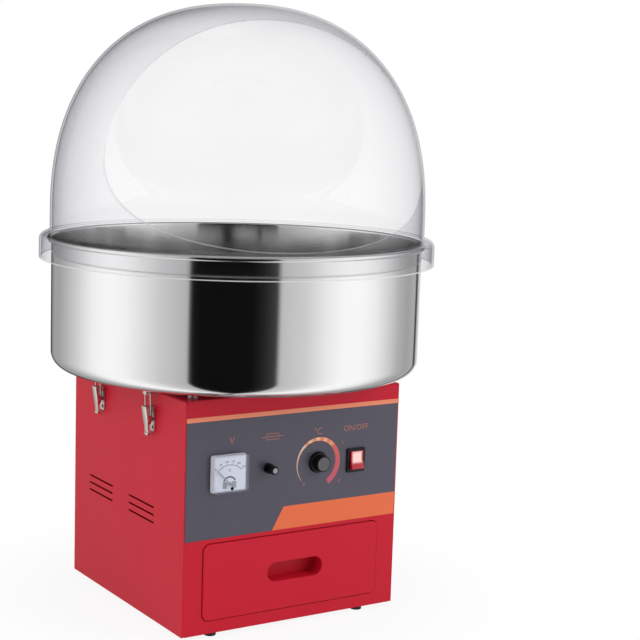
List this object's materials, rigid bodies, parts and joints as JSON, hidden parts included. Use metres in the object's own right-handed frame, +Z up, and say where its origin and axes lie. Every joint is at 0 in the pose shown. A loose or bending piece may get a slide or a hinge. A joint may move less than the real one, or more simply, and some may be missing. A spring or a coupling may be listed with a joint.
{
  "type": "cotton candy machine",
  "caption": "Table-top cotton candy machine: red sheet-metal cabinet with control panel and drawer, polished bowl over a motor-driven heated spinner head, clear dome cover with a front hatch.",
  "frame": {"origin": "on the surface that the machine stands on, under the axis of the bowl and the spinner", "axes": "+X to the operator's right, -Y out of the front panel, +Z up"},
  "size_m": [0.5569, 0.557, 0.8413],
  "materials": {
    "red_paint": "satin powder coat",
    "fascia_print": "satin printed film",
    "stainless": "mirror polished stainless steel",
    "clear_acrylic": "clear gloss acrylic",
    "clear_plastic": "clear gloss",
    "nickel": "bright nickel plate",
    "zinc_steel": "zinc plated",
    "cast_aluminium": "satin",
    "motor_steel": "satin",
    "black_rubber": "matte",
    "black_plastic": "satin",
    "white_plastic": "semi-gloss",
    "dial_white": "matte print",
    "brass": "satin",
    "carbon": "matte graphite",
    "ceramic": "glazed",
    "heater_alloy": "oxidised",
    "red_lens": "translucent gloss",
    "board_green": "solder mask"
  },
  "bodies": {
    "cabinet": {"cabinet_shell": "red_paint", "base_plate": "red_paint", "front_panel": "red_paint", "control_fascia": "fascia_print", "back_panel": "red_paint", "cabinet_screws": "zinc_steel", "rubber_feet": "black_rubber", "drawer_runners": "zinc_steel", "bowl": "stainless", "bowl_support_posts": "zinc_steel", "bowl_keepers": "nickel", "latch_bases": "nickel", "latch_rivets": "nickel", "motor_caps": "cast_aluminium", "motor_stator": "motor_steel", "motor_bearings": "zinc_steel", "motor_standoffs": "black_rubber", "brush_holder": "black_plastic", "brush_terminals": "brass", "meter_case": "white_plastic", "meter_dial": "dial_white", "meter_cover": "clear_plastic", "meter_zero_screw": "zinc_steel", "fuse_holder": "black_plastic", "potentiometer": "zinc_steel", "switch_housing": "black_plastic", "control_board": "board_green", "cable_gland": "black_plastic", "gland_nut": "black_plastic"},
    "spinner": {"motor_shaft": "zinc_steel", "motor_rotor": "motor_steel", "cooling_fan": "black_plastic", "slip_ring_carrier": "black_plastic", "slip_rings": "brass", "head_base": "cast_aluminium", "heater_posts": "ceramic", "heater_ribbon": "heater_alloy", "perforated_band": "stainless", "head_cover": "cast_aluminium", "head_fasteners": "zinc_steel"},
    "drawer": {"drawer_front": "red_paint", "drawer_tray": "red_paint", "drawer_pull_pocket": "red_paint"},
    "cover": {"dome_cover": "clear_acrylic"},
    "knob": {"control_knob": "black_plastic", "potentiometer_shaft": "zinc_steel"},
    "rocker": {"switch_rocker": "red_lens"},
    "needle": {"meter_needle": "black_plastic"},
    "fuse_carrier": {"fuse_cap": "black_plastic", "fuse_link": "clear_plastic"},
    "lower_brush": {"brush_lower": "carbon"},
    "upper_brush": {"brush_upper": "carbon"},
    "lever_front_left": {"latch_lever_front_left": "nickel"},
    "bail_front_left": {"latch_bail_front_left": "nickel"},
    "lever_back_left": {"latch_lever_back_left": "nickel"},
    "bail_back_left": {"latch_bail_back_left": "nickel"},
    "lever_front_right": {"latch_lever_front_right": "nickel"},
    "bail_front_right": {"latch_bail_front_right": "nickel"},
    "lever_back_right": {"latch_lever_back_right": "nickel"},
    "bail_back_right": {"latch_bail_back_right": "nickel"}
  },
  "joints": [
    {"name": "spinner_spin", "type": "hinge", "parent": "cabinet", "child": "spinner", "pos_m": [0, 0, 0.3], "axis": [0, 0, 1], "continuous": true},
    {"name": "drawer_slide", "type": "slide", "parent": "cabinet", "child": "drawer", "axis": [0, -1, 0], "range_m": [0, 0.23]},
    {"name": "cover_lift", "type": "slide", "parent": "cabinet", "child": "cover", "axis": [0, 0, 1], "range_m": [0, 0.25]},
    {"name": "knob_turn", "type": "hinge", "parent": "cabinet", "child": "knob", "pos_m": [0.037, -0.18, 0.224], "axis": [0, 1, 0], "range_deg": [0, 280]},
    {"name": "rocker_tilt", "type": "hinge", "parent": "cabinet", "child": "rocker", "pos_m": [0.09875, -0.17, 0.22125], "axis": [1, 0, 0], "range_deg": [0, 20]},
    {"name": "needle_swing", "type": "hinge", "parent": "cabinet", "child": "needle", "pos_m": [-0.1065, -0.177, 0.21075], "axis": [0, 1, 0], "range_deg": [0, 90], "stiffness_Nm_per_rad": 0.0002, "springref_deg": -17.19},
    {"name": "fuse_cap_turn", "type": "hinge", "parent": "cabinet", "child": "fuse_carrier", "pos_m": [-0.043, -0.18, 0.224], "axis": [0, -1, 0], "range_deg": [0, 60]},
    {"name": "lower_brush_press", "type": "slide", "parent": "cabinet", "child": "lower_brush", "axis": [1, 0, 0], "range_m": [0, 0.003], "stiffness_N_per_m": 80, "springref_m": -0.004},
    {"name": "upper_brush_press", "type": "slide", "parent": "cabinet", "child": "upper_brush", "axis": [1, 0, 0], "range_m": [0, 0.003], "stiffness_N_per_m": 80, "springref_m": -0.004},
    {"name": "lever_front_left_turn", "type": "hinge", "parent": "cabinet", "child": "lever_front_left", "pos_m": [-0.1785, -0.077, 0.2985], "axis": [0, 1, 0], "range_deg": [0, 100]},
    {"name": "bail_front_left_turn", "type": "hinge", "parent": "lever_front_left", "child": "bail_front_left", "pos_m": [-0.177, -0.077, 0.291], "axis": [0, 1, 0], "range_deg": [-85.5, 0]},
    {"name": "lever_back_left_turn", "type": "hinge", "parent": "cabinet", "child": "lever_back_left", "pos_m": [-0.1785, 0.077, 0.2985], "axis": [0, 1, 0], "range_deg": [0, 100]},
    {"name": "bail_back_left_turn", "type": "hinge", "parent": "lever_back_left", "child": "bail_back_left", "pos_m": [-0.177, 0.077, 0.291], "axis": [0, 1, 0], "range_deg": [-85.5, 0]},
    {"name": "lever_front_right_turn", "type": "hinge", "parent": "cabinet", "child": "lever_front_right", "pos_m": [0.1785, -0.077, 0.2985], "axis": [0, -1, 0], "range_deg": [0, 100]},
    {"name": "bail_front_right_turn", "type": "hinge", "parent": "lever_front_right", "child": "bail_front_right", "pos_m": [0.177, -0.077, 0.291], "axis": [0, -1, 0], "range_deg": [-85.5, 0]},
    {"name": "lever_back_right_turn", "type": "hinge", "parent": "cabinet", "child": "lever_back_right", "pos_m": [0.1785, 0.077, 0.2985], "axis": [0, -1, 0], "range_deg": [0, 100]},
    {"name": "bail_back_right_turn", "type": "hinge", "parent": "lever_back_right", "child": "bail_back_right", "pos_m": [0.177, 0.077, 0.291], "axis": [0, -1, 0], "range_deg": [-85.5, 0]}
  ],
  "couplings": [
    {"joint": "bail_front_left_turn", "follows": "lever_front_left_turn", "ratio": -0.85},
    {"joint": "bail_back_left_turn", "follows": "lever_back_left_turn", "ratio": -0.85},
    {"joint": "bail_front_right_turn", "follows": "lever_front_right_turn", "ratio": -0.85},
    {"joint": "bail_back_right_turn", "follows": "lever_back_right_turn", "ratio": -0.85}
  ]
}
